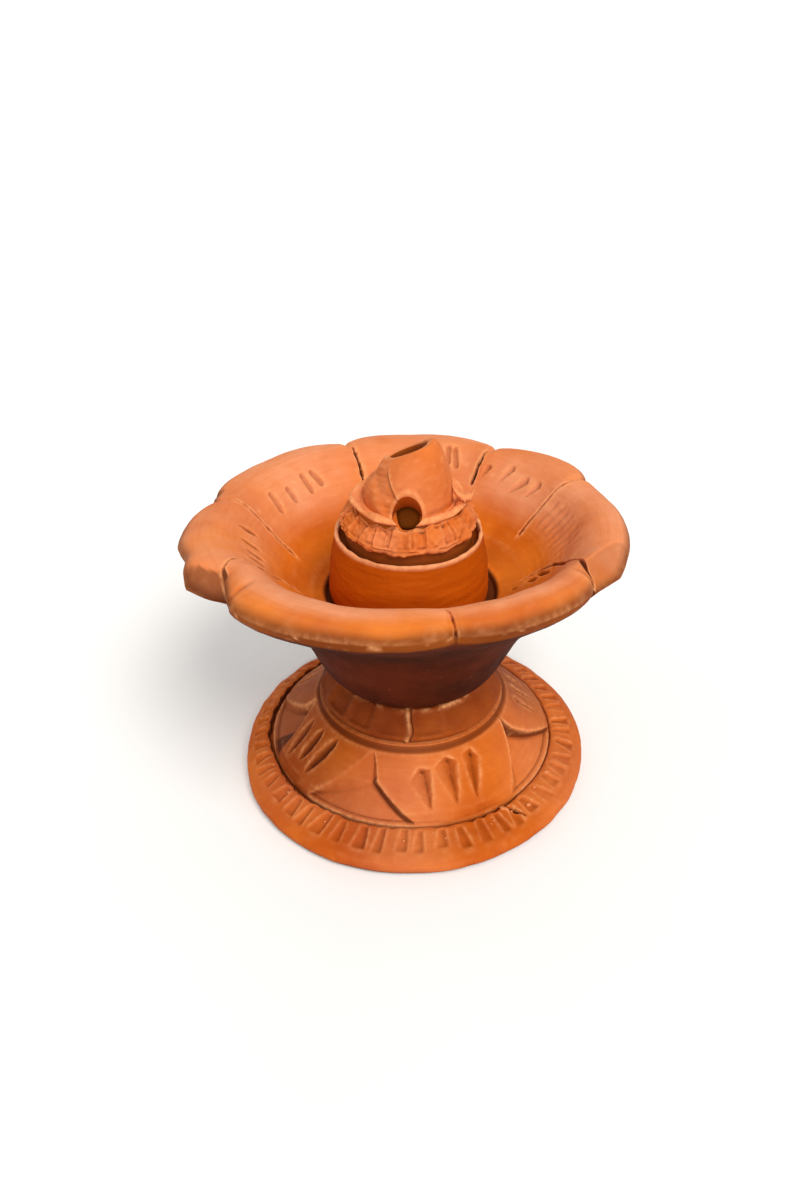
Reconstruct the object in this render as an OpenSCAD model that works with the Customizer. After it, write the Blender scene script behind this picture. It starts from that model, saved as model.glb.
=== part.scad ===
// Terracotta pedestal oil lamp: a carved foot, a coil around the stem, a flared
// bowl cut into petals, and a loose oil pot with a domed lid, a wick hole and a
// filler neck. Millimetres. +Z is up, the lamp stands on z = 0, its axis is the
// Z axis and its front (the side of the wick hole) faces -Y.
// Angles around the axis are measured from the front, towards +X.

/* [Foot] */
// Radius of the foot disc at its rounded rim
foot_r = 47; // [46:0.5:50]
// Height of the plain rounded rim
rim_h = 4.6; // [4.4:0.1:5]
// Radius of the carved mound where it meets the disc
mound_r = 38; // [37:0.5:39]
// Height of the flat top of the mound
mound_top = 20.5; // [20:0.5:22]
// Number of short notches pressed into the border of the disc
border_notches = 52; // [36:2:60]
// Depth of the knife-cut recesses between the lotus petals of the mound
recess_depth = 2.6; // [1.5:0.1:3.5]

/* [Stem coil] */
// Largest radius of the coil wrapped around the stem
coil_r = 24.2; // [23:0.1:25]
// Height of the coil
coil_h = 7.8; // [7:0.1:8.5]
// Number of panels pressed into the coil
coil_panels = 16; // [10:1:24]

/* [Bowl] */
// Radius of the stem under the bowl
stem_r = 17; // [16:0.5:17.5]
// Height of the petal tips above the ground
bowl_top = 71.5; // [70:0.5:73]
// Height of the flat seat inside the bowl
seat_z = 50.5; // [50:0.5:51]
// How far the hand-set bowl leans back, its front lip up
bowl_tilt = 3; // [0:0.5:3.5]
// Width of the knife cut between two petals
slit_w = 0.9; // [0.6:0.1:1.4]
// Depth of the gouges in the petals
gouge_depth = 0.9; // [0.5:0.1:1.5]

/* [Oil pot] */
// Radius of the pot at its foot
pot_foot_r = 20; // [19.5:0.1:20.5]
// Radius of the thin rim of the pot
pot_rim_r = 18.2; // [17.9:0.1:18.4]
// Height of the pot's rim above the ground
pot_rim_z = 69; // [68.5:0.1:69.5]
// Thickness of the pot's wall
pot_wall = 4; // [3:0.1:4.4]

/* [Lid] */
// Radius of the wick hole
wick_r = 3.6; // [2.5:0.1:3.8]
// Angle of the wick hole above the horizontal
wick_tilt = 45; // [40:1:50]
// Radius of the filler bore in the neck
filler_r = 4; // [3:0.1:4.3]
// Slope of the cut mouth of the neck
mouth_slope = 28; // [15:1:32]
// Number of pinches in the frilled strip
frill_pinches = 36; // [24:2:44]
// Clearance between the lid and the pot it stands in
lid_gap = 0.4; // [0.3:0.05:0.6]

/* [Hidden] */
round_fn = 96;

// Clay colours: sunlit, mid and shaded terracotta
clay_light = "#dd7a48";
clay_mid = "#c8622c";
clay_dark = "#a94f1f";

// Levels, from the ground up
ring_recess_z = 1.2;
mound_seat_z = 4.2;
groove_gap = 0.6;
band_top_z = 6.4;
mound_edge_z = 7.4;
petal_top_r = 25.6;
petal_top_z = 18.6;
coil_top_z = mound_top + coil_h;
ledge_z = pot_rim_z - 2.5;
pot_floor_z = 54.5;
pot_bore_r = pot_rim_r - pot_wall + 0.4;
lid_skirt_z = 62;
neck_top_z = 94;
wick_point = [0, -9.6, 78];

// The vent that runs up the middle of the foot, so that the clay fires evenly
vent_low_r = 20;
vent_top_r = 11;
vent_end_z = 39.5;

// Radius of the level seat cut into the floor of the bowl
seat_r = 21.3;

// Knife cuts between the seven petals of the bowl: angle, and the notch's inner radius
PETAL_CUTS = [
  [10, 50], [62, 47], [118, 50], [152, 49], [202, 48], [256, 49.5], [291, 48]
];
// Angle of the tip of each petal, and how far it reaches
PETALS = [
  [36, 53.7], [92, 54.4], [134, 53.9], [180, 53.6], [232, 54.1], [271, 55.8], [312, 56.4], [343, 54.9]
];
petal_curve_r = 39;
// Middle angles of the rows of four gouges on the bowl's petals
GOUGED_PETALS = [40, 88, 134, 176, 230, 270];

// Apex angle of the five recesses between the petals of the foot
FOOT_CUTS = [-82, -22, 64, 132, 204];
// Middle angles of the gouge triplets on the foot's petals
FOOT_GOUGES = [-57, 19, 98, 168, 236];

// Points of an arc with centre (cx, cy), from angle a0 to a1
function arc(cx, cy, r, a0, a1, n = 8) =
  [for (i = [0:n]) [cx + r * cos(a0 + (a1 - a0) * i / n), cy + r * sin(a0 + (a1 - a0) * i / n)]];

// Turns its children, drawn at the front, by an angle around the axis
module at_angle(a) {
  rotate([0, 0, a]) children();
}

// Puts its children at a point of a slope at the front, with +Y down the slope and +Z into the clay
module on_slope(r, z, slope) {
  translate([0, -r, z]) rotate([slope + 180, 0, 0]) children();
}

// A gouge: a short lens-shaped cutter that lies along +Y
module gouge(length, width, depth) {
  ball = (width * width / 4 + depth * depth) / (2 * depth);
  translate([0, 0, depth - ball])
    rotate([-90, 0, 0])
      translate([0, 0, -length / 2])
        cylinder(h = length, r = ball, $fn = 32);
}

// The wick hole's cutter, from well outside to the hollow of the lid
module wick_cutter(r) {
  translate(wick_point)
    rotate([90 - wick_tilt, 0, 0])
      translate([0, 0, -4.6])
        cylinder(h = 16, r = r, $fn = 64);
}

// The foot disc: a ring to stand on, a rounded rim, a notched border and the mound's seat
module foot_disc() {
  rim_round = rim_h / 2;
  section = concat(
    [[vent_low_r, ring_recess_z], [39.5, ring_recess_z], [40.7, 0]],
    arc(foot_r - rim_round, rim_round, rim_round, -90, 65, 10),
    [
      [mound_r + 1.8, band_top_z],
      [mound_r + groove_gap, band_top_z - 0.5],
      [mound_r + groove_gap, mound_seat_z],
      [vent_low_r, mound_seat_z]
    ]
  );
  border_slope = 18;
  color(clay_mid)
    difference() {
      rotate_extrude($fn = round_fn) polygon(section);
      for (i = [0:border_notches - 1])
        at_angle(i * 360 / border_notches)
          on_slope(42, 5.5, border_slope)
            gouge(4.6, 2.6, 0.8);
    }
}

// One knife-cut recess between two petals of the mound
module mound_recess() {
  slope = atan2(petal_top_z - mound_edge_z, mound_r - petal_top_r);
  on_slope(petal_top_r, petal_top_z, slope)
    translate([0, 0, -6])
      linear_extrude(height = 6 + recess_depth)
        polygon([[0, 0.4], [-13.5, 21], [13.5, 21]]);
}

// Three gouges side by side on a petal of the foot
module foot_gouges() {
  slope = atan2(petal_top_z - mound_edge_z, mound_r - petal_top_r);
  for (side = [-1, 0, 1])
    at_angle(side * 12)
      on_slope(31.2, 13.55, slope)
        gouge(8.5, 3, 0.9);
}

// The lotus mound: five petals that fall from the stem to the disc, vented from below
module lotus_mound() {
  section = [
    [vent_low_r, mound_seat_z],
    [mound_r, mound_seat_z],
    [mound_r, mound_edge_z - 0.8],
    [mound_r - 0.6, mound_edge_z],
    [petal_top_r, petal_top_z],
    [25, petal_top_z + 0.4],
    [24.8, mound_top],
    [vent_top_r, mound_top]
  ];
  color(clay_light)
    difference() {
      rotate_extrude($fn = round_fn) polygon(section);
      for (a = FOOT_CUTS) at_angle(a) mound_recess();
      for (a = FOOT_GOUGES) at_angle(a) foot_gouges();
    }
}

// The coil around the stem: a strip of clay pressed into panels
module stem_coil() {
  section = concat(
    [[stem_r, mound_top]],
    arc(coil_r - 1.4, mound_top + 1.4, 1.4, -90, 35, 5),
    [[20, coil_top_z - 1.6]],
    arc(18.6, coil_top_z - 1, 1, 40, 90, 4),
    [[stem_r, coil_top_z]]
  );
  color(clay_mid)
    difference() {
      rotate_extrude($fn = round_fn) polygon(section);
      for (i = [0:coil_panels - 1])
        at_angle((i + 0.5) * 360 / coil_panels)
          translate([0, -coil_r - 1.5, mound_top + 5])
            rotate([-38, 0, 0])
              cylinder(h = 12, r = 4.2, center = true, $fn = 32);
    }
}

// Half section of the stem, level with the ground
function stem_section() = [
  [0, mound_top],
  [stem_r, mound_top],
  [stem_r, coil_top_z],
  [18.6, coil_top_z + 0.5],
  [22.4, coil_top_z + 1.9],
  [22.9, 34],
  [0, 34]
];

// Half section of the bowl about its own leaning axis: underside, rolled lip, petals and floor
function bowl_section() = concat(
  [
    [0, 31],
    [21.2, 31],
    [25.2, 35.2],
    [28.2, 41],
    [31.6, 47.4],
    [37, 54],
    [44, 59.4],
    [51.7, 64],
    [55.2, 66.2]
  ],
  arc(55.2, 67.7, 1.5, -60, 70, 4),
  [
    [52.8, bowl_top - 0.9],
    [48.5, bowl_top],
    [45, bowl_top - 1.1],
    [41.5, bowl_top - 3.6],
    [37, bowl_top - 8],
    [32, bowl_top - 13.4],
    [27, bowl_top - 17.6],
    [23.5, seat_z + 1.9],
    [20, seat_z + 1.3],
    [0, seat_z + 1.3]
  ]
);

// Leans its children back with the bowl, about the middle of the seat
module leaning() {
  translate([0, 0, seat_z])
    rotate([-bowl_tilt, 0, 0])
      translate([0, 0, -seat_z])
        children();
}

// The scalloped outline of the seven petals, as wide discs set off the axis
module petal_outline() {
  for (p = PETALS)
    at_angle(p[0])
      translate([0, -(p[1] - petal_curve_r), 0])
        cylinder(h = 80, r = petal_curve_r, $fn = round_fn);
}

// The knife cut between two petals: a notch in the lip and a slit down the inner wall
module petal_cut(notch_r) {
  translate([0, -notch_r, 40])
    linear_extrude(height = 50)
      polygon([[0, 0], [-9, -16], [9, -16]]);
  on_slope(28, 56, -40)
    translate([-slit_w / 2, -1, -4])
      cube([slit_w, notch_r - 24, 4 + 1.2]);
}

// Four gouges side by side on a petal of the bowl
module petal_gouges() {
  for (side = [-1.5, -0.5, 0.5, 1.5])
    at_angle(side * 7)
      on_slope(39, bowl_top - 6.2, -44)
        gouge(6, 2, gouge_depth);
}

// The bowl, with its stem: seven petals around a level seat for the pot, and the blind end of the vent
module petal_bowl() {
  color(clay_light)
    difference() {
      union() {
        rotate_extrude($fn = round_fn) polygon(stem_section());
        leaning()
          intersection() {
            rotate_extrude($fn = round_fn) polygon(bowl_section());
            petal_outline();
          }
      }
      leaning() {
        for (c = PETAL_CUTS) at_angle(c[0]) petal_cut(c[1]);
        for (a = GOUGED_PETALS) at_angle(a) petal_gouges();
      }
      translate([0, 0, seat_z])
        cylinder(h = 8, r = seat_r, $fn = round_fn);
      translate([0, 0, mound_top - 1])
        cylinder(h = vent_end_z - mound_top + 1, r = vent_top_r, $fn = round_fn);
    }
}

// The oil pot: a straight-sided cup with a thin rim and a ledge for the lid
module oil_pot() {
  section = concat(
    [[0, seat_z], [pot_foot_r - 0.6, seat_z], [pot_foot_r, seat_z + 1]],
    [[pot_foot_r - 0.2, 56], [pot_rim_r + 0.9, 63], [pot_rim_r + 0.2, pot_rim_z - 1.2]],
    arc(pot_rim_r - 0.5, pot_rim_z - 0.5, 0.5, 0, 180, 6),
    [
      [pot_rim_r - 1, ledge_z],
      [pot_bore_r, ledge_z],
      [pot_bore_r, pot_floor_z + 3],
      [pot_bore_r - 3, pot_floor_z],
      [0, pot_floor_z]
    ]
  );
  color(clay_dark)
    rotate_extrude($fn = round_fn) polygon(section);
}

// The lid: a skirt that drops into the pot, a dome with the wick hole, and the filler neck
module lid_dome() {
  skirt_r = pot_bore_r - lid_gap;
  outside = [
    [skirt_r, lid_skirt_z],
    [skirt_r, ledge_z],
    [15.6, ledge_z],
    [15.6, 69],
    [14.8, 70.2],
    [14.2, 71.4],
    [12.4, 75.8],
    [10.4, 77.2],
    [10.5, 79],
    [10.2, 81.4],
    [9.3, 84.6],
    [8, 87.8],
    [6.8, 90.6],
    [6, neck_top_z]
  ];
  inside = [
    [filler_r, neck_top_z],
    [filler_r, 78],
    [8, 73],
    [9.6, 70],
    [skirt_r - 3.2, 67],
    [skirt_r - 2.6, lid_skirt_z]
  ];
  color(clay_mid)
    difference() {
      rotate_extrude($fn = round_fn) polygon(concat(outside, inside));
      wick_cutter(wick_r);
      translate([0, 0, 90.2])
        rotate([8, -mouth_slope, 0])
          translate([-20, -20, 0])
            cube([40, 40, 20]);
    }
}

// The frilled strip around the dome: a pinched band over a plain lower edge
module frill_strip() {
  section = [
    [15.2, 69.6],
    [16.3, 70],
    [16.9, 71.2],
    [16.9, 72.6],
    [16.4, 73.8],
    [15, 75.4],
    [13.9, 76.6],
    [13.2, 76.8],
    [12.4, 75.8],
    [14.2, 71.4],
    [14.8, 70.2]
  ];
  color(clay_mid)
    difference() {
      rotate_extrude($fn = round_fn) polygon(section);
      for (i = [0:frill_pinches - 1])
        at_angle((i + 0.5) * 360 / frill_pinches)
          on_slope(15.9, 74.6, 49)
            gouge(4, 1.6, 0.6);
      wick_cutter(wick_r + 0.3);
    }
}

// The ridge of slip squeezed up between the strip and the neck
module slip_bead() {
  section = [
    [12.4, 75.8],
    [13.2, 76.8],
    [13.2, 77.5],
    [12.6, 78],
    [12, 77.6],
    [11.4, 76.9],
    [10.5, 77.6],
    [10.4, 77.2]
  ];
  color(clay_light)
    difference() {
      rotate_extrude($fn = round_fn) polygon(section);
      wick_cutter(wick_r + 0.3);
    }
}

foot_disc();
lotus_mound();
stem_coil();
petal_bowl();
oil_pot();
lid_dome();
frill_strip();
slip_bead();
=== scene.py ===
"""Looks of the terracotta oil lamp: every clay piece is turned as a fine mesh, carved, and painted.

Lengths inside the clay functions are millimetres in the part's own frame. Angles are degrees around
the lamp's axis, from the front (-Y) towards +X. Points on a surface are (radius, angle) pairs.
"""

import itertools
import math

import bmesh
import bpy
import numpy as np
from mathutils import Matrix, Vector
from mathutils.kdtree import KDTree


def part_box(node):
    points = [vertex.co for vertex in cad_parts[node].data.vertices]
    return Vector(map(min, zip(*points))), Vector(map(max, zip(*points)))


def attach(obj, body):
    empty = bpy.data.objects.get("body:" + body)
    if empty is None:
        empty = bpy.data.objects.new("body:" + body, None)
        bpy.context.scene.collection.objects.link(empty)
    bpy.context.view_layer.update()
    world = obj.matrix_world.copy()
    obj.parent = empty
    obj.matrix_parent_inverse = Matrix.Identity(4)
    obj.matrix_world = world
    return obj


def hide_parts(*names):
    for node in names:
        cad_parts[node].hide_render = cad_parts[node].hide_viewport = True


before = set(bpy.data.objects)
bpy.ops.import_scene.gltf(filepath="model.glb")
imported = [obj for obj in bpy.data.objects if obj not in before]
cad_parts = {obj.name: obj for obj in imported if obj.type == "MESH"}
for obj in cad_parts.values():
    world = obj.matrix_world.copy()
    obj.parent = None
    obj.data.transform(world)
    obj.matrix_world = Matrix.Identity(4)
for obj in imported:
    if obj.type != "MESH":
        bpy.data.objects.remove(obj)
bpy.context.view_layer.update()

MM = 0.001


# ---------------------------------------------------------------- places, from the frame


def low(node, axis=2):
    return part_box(node)[0][axis] / MM


def high(node, axis=2):
    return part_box(node)[1][axis] / MM


FOOT_R = (high("foot_disc", 0) - low("foot_disc", 0)) / 2
MOUND_TOP = high("lotus_mound")
MOUND_R = high("lotus_mound", 0)
COIL_R = high("stem_coil", 0)
COIL_TOP = high("stem_coil")
SEAT = low("oil_pot")
POT_RIM = high("oil_pot")
LEDGE = POT_RIM - 2.5
LID_SKIRT = low("lid_dome")
BOWL_TOP = SEAT + 21
BOWL_LEAN = 3
POT_SHIFT = np.array([-0.6, 0.0])
WICK_POINT = (-0.3, -9.6, 77.7)
WICK_R = 3.5
WICK_TILT = 45


# ---------------------------------------------------------------- noise and small maths

# The seed of each piece of random work, and how many rows of vertices each turned piece has
SEEDS = {"noise": 11, "border": 3, "coil": 5, "frill": 21, "crumb": 17, "places": 29, "tag": 31}
ROWS = {
    "foot": 1000, "mound": 900, "coil": 760, "bowl": 800,
    "pot": 620, "lid": 560, "frill": 960, "bead": 720,
}

LATTICE = np.random.default_rng(SEEDS["noise"]).random((40, 40, 40))


def noise(x, y, z, size, shift=0.0):
    """Smooth value noise from -1 to 1, whose bumps are about size across."""
    q = np.stack(np.broadcast_arrays(x, y, z), -1) / size + shift + 4000
    cell = np.floor(q).astype(int)
    f = q - cell
    f = f * f * (3 - 2 * f)
    total = 0
    for corner in itertools.product((0, 1), repeat=3):
        weight = np.prod(np.where(corner, f, 1 - f), axis=-1)
        k = (cell + corner) % 40
        total = total + weight * LATTICE[k[..., 0], k[..., 1], k[..., 2]]
    return total * 2 - 1


def smooth(x, start, end):
    """0 before start, 1 after end, and an even step between them."""
    t = np.clip((x - start) / (end - start), 0, 1)
    return t * t * (3 - 2 * t)


def fade(x, start, end):
    """1 before start, 0 after end."""
    return 1 - smooth(x, start, end)


def bell(x, width):
    """1 where x is 0, falling away evenly on both sides."""
    return np.exp(-((x / width) ** 2))


def plan(radius, angle):
    """The plan position of a point given by its radius and angle."""
    a = np.radians(angle)
    return radius * np.sin(a), -radius * np.cos(a)


def turn_between(angle, other):
    """The signed angle from other to angle, from -180 to 180."""
    return (angle - other + 180) % 360 - 180


# ---------------------------------------------------------------- objects and the marks on them

# What the clay materials read at each vertex: dirt and painted shade in the marks, pale dust, salmon petal
# tone, and painted shade on shaded sides
MARKS = ("grime_and_shade", "dust", "petal", "shade")


def link_object(name, data):
    made = bpy.data.objects.new(name, data)
    bpy.context.scene.collection.objects.link(made)
    return made


def set_mark(mesh, name, values):
    layer = mesh.attributes.get(name) or mesh.attributes.new(name, "FLOAT", "POINT")
    layer.data.foreach_set("value", values.astype(np.float32))


def loose_clay(name, mesh, dust):
    """Makes the object for bits of loose clay, which are marked the same all over."""
    mesh.shade_smooth()
    for mark, value in zip(MARKS, (0.0, dust, 0.5, 0.0)):
        set_mark(mesh, mark, np.full(len(mesh.vertices), value))
    return link_object(name, mesh)


# ---------------------------------------------------------------- turned surfaces


def half_section(points, step, corner, closed):
    """Rounds and evenly spaces a half section.

    A point is (r, z), with its own step and corner after it where they differ from the common ones.
    """
    rows = [tuple(p) + (step, corner)[len(p) - 2 :] for p in points]
    path = np.array(rows + rows[:1] if closed else rows, float)
    for _ in range(3):
        a, b = path[:-1], path[1:]
        length = np.hypot(b[:, 0] - a[:, 0], b[:, 1] - a[:, 1])[:, None]
        ta = np.minimum(0.25, a[:, 3:4] / np.maximum(length, 1e-6))
        tb = np.minimum(0.25, b[:, 3:4] / np.maximum(length, 1e-6))
        cut = np.empty((2 * len(a), 4))
        cut[0::2] = a + (b - a) * ta
        cut[1::2] = b + (a - b) * tb
        cut[:, 3] /= 2
        path = np.vstack([cut, cut[:1]] if closed else [path[:1], cut, path[-1:]])
    length = np.hypot(np.diff(path[:, 0]), np.diff(path[:, 1]))
    along = np.concatenate([[0], np.cumsum(2 * length / (path[1:, 2] + path[:-1, 2]))])
    t = np.linspace(0, along[-1], int(round(along[-1])) + 1)
    if closed:
        t = t[:-1]
    return np.interp(t, along, path[:, 0]), np.interp(t, along, path[:, 1])


def angles(count, focus=(), gain=3.0, reach=1.3):
    """count angles round the axis, closer together near the angles in focus."""
    fine = np.linspace(0, 360, 7201)
    density = np.ones_like(fine)
    for f in focus:
        density += gain * bell(turn_between(fine, f), reach)
    total = np.concatenate([[0], np.cumsum((density[1:] + density[:-1]) / 2)])
    return np.interp(np.linspace(0, total[-1], count + 1)[:-1], total, fine)


SHARP_ANGLE = math.radians(48)


class Turned:
    """A turned clay surface as a grid: a row for each angle, a column for each point of the half section."""

    def __init__(self, points, columns, step=0.6, corner=1.0, closed=True):
        r, z = half_section(points, step, corner, closed)
        self.closed = closed
        shape = (len(columns), len(r))
        self.phi = np.broadcast_to(columns[:, None], shape).copy()
        self.r, self.z = np.tile(r, (shape[0], 1)), np.tile(z, (shape[0], 1))
        if closed:
            dr, dz = np.roll(r, -1) - np.roll(r, 1), np.roll(z, -1) - np.roll(z, 1)
        else:
            dr, dz = np.gradient(r), np.gradient(z)
        size = np.hypot(dr, dz)
        self.nr, self.nz = np.tile(dz / size, (shape[0], 1)), np.tile(-dr / size, (shape[0], 1))
        self.r0, self.z0 = self.r.copy(), self.z.copy()
        self.top = smooth(self.nz, 0.0, 0.3)
        self.grime_and_shade, self.dust = np.zeros(shape), np.zeros(shape)
        self.petal, self.shade = np.zeros(shape), np.zeros(shape)
        self.relief = np.zeros(shape)

    def plan(self):
        return plan(self.r0, self.phi)

    def push(self, depth):
        """Moves the surface into the clay by depth, along the section's own normal."""
        self.r = self.r - depth * self.nr
        self.z = self.z - depth * self.nz
        self.relief = self.relief - depth

    def add_grime_and_shade(self, dirt_and_shade):
        """Leaves at least this much dirt and painted shade, 0 to 1, on the surface."""
        self.grime_and_shade = np.maximum(self.grime_and_shade, dirt_and_shade)

    def powder(self, dust):
        """Leaves at least this much pale dust, 0 to 1, on the surface."""
        self.dust = np.maximum(self.dust, dust)

    def turn(self, angle):
        """The angle of each point from a given one, from -180 to 180."""
        return turn_between(self.phi, angle)

    def arc(self, angle):
        """Distance of each point round the axis from an angle."""
        return np.radians(self.turn(angle)) * self.r0

    def carve(self, depth, dark=0.0):
        """Pushes the surface in and remembers how dark the mark is, as dirt and painted shade."""
        self.push(depth)
        self.add_grime_and_shade(np.clip(depth * dark, 0, 1))

    def rough(self, *layers, where=1.0):
        """Makes the surface uneven, as clay shaped by hand is. A layer is (amount, size, noise shift)."""
        x, y = self.plan()
        for amount, size, shift in layers:
            self.push(amount * noise(x, y, self.z0, size, shift) * where)

    def thrown(self, amount, pitch, shift=0.0, where=1.0):
        """Fine rings left by turning: noise that hardly changes around the axis."""
        around = np.radians(self.phi)
        out, up = self.r0 + 0.8 * np.sin(around + shift), self.z0 + 0.8 * np.cos(around)
        wave = noise(out, up, 3 * np.sin(around), pitch, shift)
        self.push(amount * wave * where)

    def edges(self, wide=3, dusty=0.1, dark=0.35):
        """Finds raised edges for dust, and sunken lines for dirt and painted shade, from the relief that was
        carved.
        """
        blurred = self.relief
        for _ in range(2):
            total = sum(np.roll(blurred, k, 0) for k in range(-wide, wide + 1)) / (2 * wide + 1)
            padded = np.pad(total, ((0, 0), (wide, wide)), "wrap" if self.closed else "edge")
            width = total.shape[1]
            blurred = sum(padded[:, k : k + width] for k in range(2 * wide + 1)) / (2 * wide + 1)
        high_pass = self.relief - blurred
        self.powder(np.clip(high_pass / dusty, 0, 1))
        self.add_grime_and_shade(np.clip(-high_pass / dark, 0, 1))

    def points(self):
        x, y = plan(self.r, self.phi)
        return np.stack([x, y, self.z], -1)

    def piece(self, name, place=None, cutter=None):
        """Makes the mesh object, in metres. place moves the grid's points first."""
        grid = self.points() if place is None else place(self.points())
        rows, cols, _ = grid.shape
        number = np.arange(rows * cols).reshape(rows, cols)
        if not self.closed:
            number[:, 0], number[:, -1] = number[0, 0], number[0, -1]
        following = np.roll(number, -1, 0)
        if self.closed:
            quads = np.stack([number, following, np.roll(following, -1, 1), np.roll(number, -1, 1)], -1)
        else:
            quads = np.stack([number[:, :-1], following[:, :-1], following[:, 1:], number[:, 1:]], -1)
        faces = []
        for q in quads.reshape(-1, 4)[:, ::-1].tolist():
            corners = list(dict.fromkeys(q))
            if len(corners) > 2:
                faces.append(corners)
        mesh = bpy.data.meshes.new(name)
        mesh.from_pydata((grid.reshape(-1, 3) * MM).tolist(), [], faces)
        for mark in MARKS:
            set_mark(mesh, mark, np.clip(getattr(self, mark).reshape(-1), 0, 1))
        b = bmesh.new()
        b.from_mesh(mesh)
        bmesh.ops.delete(b, geom=[v for v in b.verts if not v.link_faces], context="VERTS")
        if b.calc_volume(signed=True) < 0:
            bmesh.ops.reverse_faces(b, faces=b.faces)
        b.to_mesh(mesh)
        b.free()
        piece = link_object(name, mesh)
        if cutter is not None:
            bore(piece, cutter)
        mesh = piece.data
        mesh.shade_smooth()
        mesh.set_sharp_from_angle(angle=SHARP_ANGLE)
        return piece


BORE_CLEAR = 0.35  # a vertex this far from the old surface lies on the bore's own wall
# painted shade on the bore's own wall, inside the wick hole
BORE_WALL_SHADE = 0.1


def bore(piece, cutter):
    """Cuts cutter out of the piece, and gives the new vertices the marks of the nearest old ones."""
    old = piece.data
    tree = KDTree(len(old.vertices))
    for i, v in enumerate(old.vertices):
        tree.insert(v.co, i)
    tree.balance()
    marks = {n: np.zeros(len(old.vertices), np.float32) for n in MARKS}
    for n in MARKS:
        old.attributes[n].data.foreach_get("value", marks[n])
    cut = piece.modifiers.new("bore", "BOOLEAN")
    cut.operation, cut.solver, cut.object = "DIFFERENCE", "EXACT", cutter
    bpy.context.view_layer.update()
    evaluated = piece.evaluated_get(bpy.context.evaluated_depsgraph_get())
    fresh = bpy.data.meshes.new_from_object(evaluated)
    piece.modifiers.clear()
    piece.data = fresh
    found = [tree.find(v.co)[1:] for v in fresh.vertices]
    nearest = np.array([i for i, _ in found])
    inside = np.array([distance > BORE_CLEAR * MM for _, distance in found])
    for n in MARKS:
        bored = BORE_WALL_SHADE if n == "grime_and_shade" else 0.0
        set_mark(fresh, n, np.where(inside, bored, marks[n][nearest]))
    bpy.data.meshes.remove(old)


# ---------------------------------------------------------------- tool marks


def stroke(clay, start, end, width, depth, form, dark):
    """Carves one mark from start to end.

    form is slot (round ends), drop (wide start, pointed end) or slash (pointed at both ends).
    """
    (ax, ay), (bx, by) = plan(*start), plan(*end)
    length = math.hypot(bx - ax, by - ay)
    dx, dy = (bx - ax) / length, (by - ay) / length
    px, py = clay.plan()
    t = ((px - ax) * dx + (py - ay) * dy) / length
    across = (px - ax) * dy - (py - ay) * dx
    across = across + 0.12 * noise(px, py, clay.z0, 1.3, start[1])
    inside = np.clip(t, 0, 1)
    if form == "drop":
        swell = np.minimum(inside / 0.16, 1) * (1 - inside) ** 0.75
    elif form == "slash":
        swell = np.sin(np.pi * inside) ** 0.6
    else:
        swell = np.clip(1 - np.abs(2 * inside - 1) ** 5, 0, 1) ** 0.5
    swell = np.where((t > 0) & (t < 1), swell, 0)
    half = np.maximum(width / 2 * swell, 1e-3)
    shape = np.clip(1 - np.abs(across) / half, 0, 1)
    if form == "slot":
        shape = np.clip(shape * 1.7, 0, 1)
    if form == "drop":
        crease = -0.35 * half
        near_side = (half - across) / (half - crease)
        shape = np.clip(np.where(across > crease, near_side, (half + across) / (half + crease)), 0, 1)
        # painted shade on the drop's steep wall, the side that the light doesn't reach
        clay.add_grime_and_shade(2.4 * dark * shape * (across < crease) * smooth(swell, 0.1, 0.4))
    clay.carve(depth * shape * np.minimum(swell * 1.5, 1) * clay.top, dark)


def slit(clay, path, width, depth, shift, broken=0.5, where=1.0):
    """Cuts a ragged knife line along path, a list of (radius, angle) from the outside in."""
    radii, turns = np.array(path, float)[::-1].T
    middle = np.interp(clay.r0, radii, turns)
    slope = np.interp(clay.r0, (radii[1:] + radii[:-1]) / 2, np.diff(turns) / np.diff(radii))
    tilt = 1 / np.sqrt(1 + (np.radians(slope) * clay.r0) ** 2)
    wander = noise(clay.r0, shift, 0, 2.2, shift)
    across = clay.arc(middle) * tilt + 0.12 * wander
    chips = noise(clay.r0, shift, 5, 1.1, shift)
    half = width / 2 * (1 + 0.55 * chips)
    deep = 1 - broken * smooth(noise(clay.r0, shift, 9, 3.2, shift), 0.05, 0.5)
    ends = smooth(clay.r0, radii[0] - 0.3, radii[0] + 0.8)
    ends = ends * fade(clay.r0, radii[-1] - 0.2, radii[-1] + 0.6)
    wall = np.clip((half - np.abs(across)) / 0.22, 0, 1)
    # dirt and painted shade darken the inside of the knife line
    clay.carve(depth * wall * deep * ends * where, 0.8)
    burr = bell(np.abs(across) - half - 0.25, 0.25) * ends * where
    clay.push(-0.14 * burr * (0.5 + 0.5 * chips))


def gouges(clay, table, forms):
    """Carves every mark in a table. forms gives how much wider, how deep and how dark (dirt and painted
    shade) each form is.
    """
    for start, end, width, form in table:
        wider, depth, dark = forms[form]
        stroke(clay, start, end, wider * width, depth, form, dark)


# ---------------------------------------------------------------- the foot disc

BORDER_NOTCHES = 52

# How far the hand-shaped foot reaches, as (angle, radius)
FOOT_REACH = [
    (-100, 44.9), (-80, 44.8), (-58, 47.6), (-30, 49.3), (0, 49.5), (30, 48.4),
    (60, 47.7), (90, 47.2), (130, 46.6), (180, 46.2), (220, 45.2), (260, 44.9),
]
SEAM_R = MOUND_R + 0.6


def foot_reach(angle):
    """The radius of the foot's edge at an angle."""
    turns, radii = np.array(FOOT_REACH, float).T
    near = [np.interp((angle + 100 + k) % 360 - 100, turns, radii) for k in (-12, -6, 0, 6, 12)]
    return sum(near) / 5


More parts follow.
